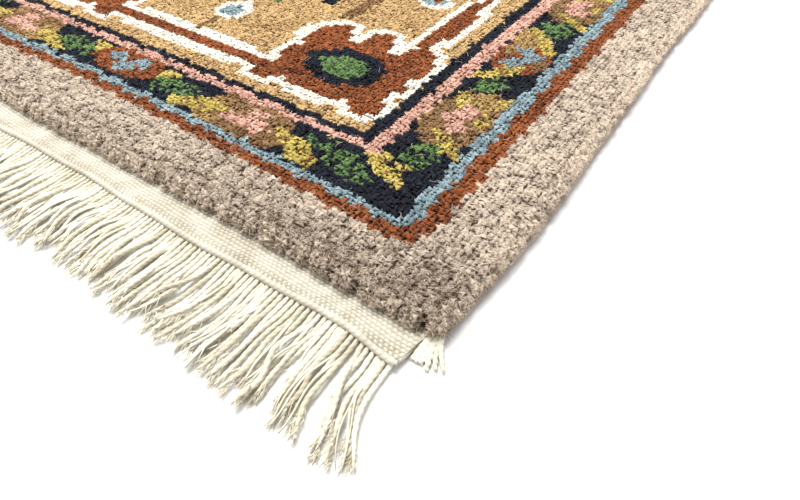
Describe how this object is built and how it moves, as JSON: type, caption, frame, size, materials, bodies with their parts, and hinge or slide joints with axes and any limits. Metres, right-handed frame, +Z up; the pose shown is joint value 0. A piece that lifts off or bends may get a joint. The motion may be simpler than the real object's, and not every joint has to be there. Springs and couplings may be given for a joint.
{
  "type": "oriental rug",
  "caption": "Small hand-knotted wool rug with a patterned field and borders, overcast sides, flat-woven cotton ends and a cotton fringe, lying flat.",
  "frame": {"origin": "on the floor, under the middle of the rug", "axes": "+X across the rug's width, +Y along its length from the front fringe to the back fringe, +Z up out of the pile"},
  "size_m": [0.6652, 0.996, 0.013],
  "materials": {
    "wool_pile": "clipped wool pile, matte",
    "wool_selvedge": "overcast wool yarn, matte",
    "cotton_kilim": "flat-woven cotton, matte",
    "cotton_fringe": "plied cotton yarn, matte"
  },
  "bodies": {
    "root": {"pile": "wool_pile", "selvedge_right": "wool_selvedge", "selvedge_left": "wool_selvedge", "kilim_front": "cotton_kilim", "kilim_back": "cotton_kilim", "fringe_front": "cotton_fringe", "fringe_back": "cotton_fringe", "tassel_front_right": "cotton_fringe", "tassel_front_left": "cotton_fringe", "tassel_back_right": "cotton_fringe", "tassel_back_left": "cotton_fringe"}
  },
  "joints": []
}
